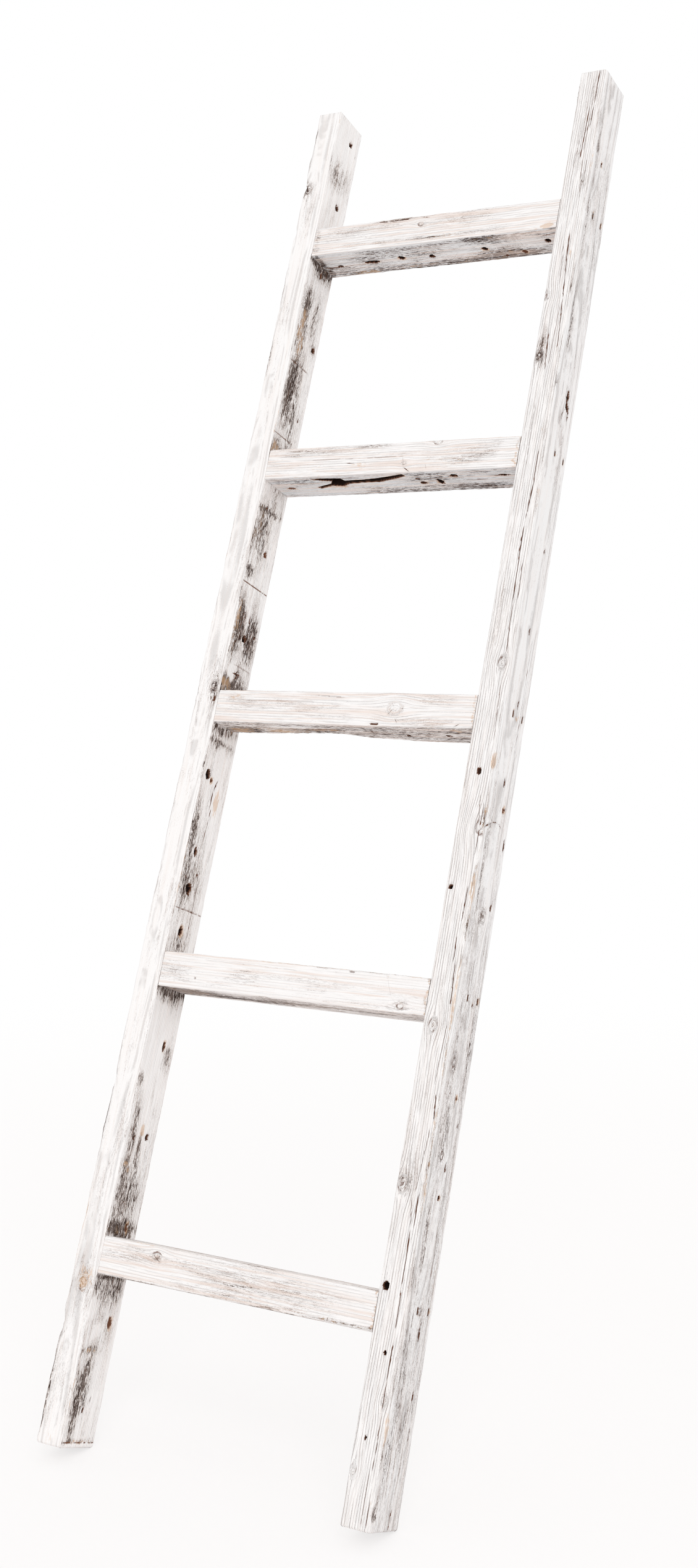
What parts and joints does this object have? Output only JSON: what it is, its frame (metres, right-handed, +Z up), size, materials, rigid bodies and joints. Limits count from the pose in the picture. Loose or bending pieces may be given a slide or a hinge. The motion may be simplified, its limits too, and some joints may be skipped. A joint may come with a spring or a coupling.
{
  "type": "blanket ladder",
  "caption": "Leaning blanket ladder of whitewashed reclaimed timber, with square-cut rails and flat rungs nailed between them, for hanging blankets, throws and towels.",
  "frame": {"origin": "floor point midway between the rear bottom edges of the two rails, where the leaning ladder touches the floor", "axes": "+Z up, +X along the rungs to the right as seen from the front, +Y level, away from the user towards the wall"},
  "size_m": [0.4572, 0.6844, 1.7394],
  "materials": {
    "rail_wood": "limed and whitewashed reclaimed softwood, weathered",
    "rung_wood": "limed and whitewashed reclaimed softwood, warmer and more worn",
    "nail_iron": "dull rusted iron"
  },
  "bodies": {
    "root": {"left_rail": "rail_wood", "right_rail": "rail_wood", "rung_1": "rung_wood", "rung_2": "rung_wood", "rung_3": "rung_wood", "rung_4": "rung_wood", "rung_5": "rung_wood", "left_nails_1": "nail_iron", "left_nails_2": "nail_iron", "left_nails_3": "nail_iron", "left_nails_4": "nail_iron", "left_nails_5": "nail_iron", "right_nails_1": "nail_iron", "right_nails_2": "nail_iron", "right_nails_3": "nail_iron", "right_nails_4": "nail_iron", "right_nails_5": "nail_iron"}
  },
  "joints": []
}
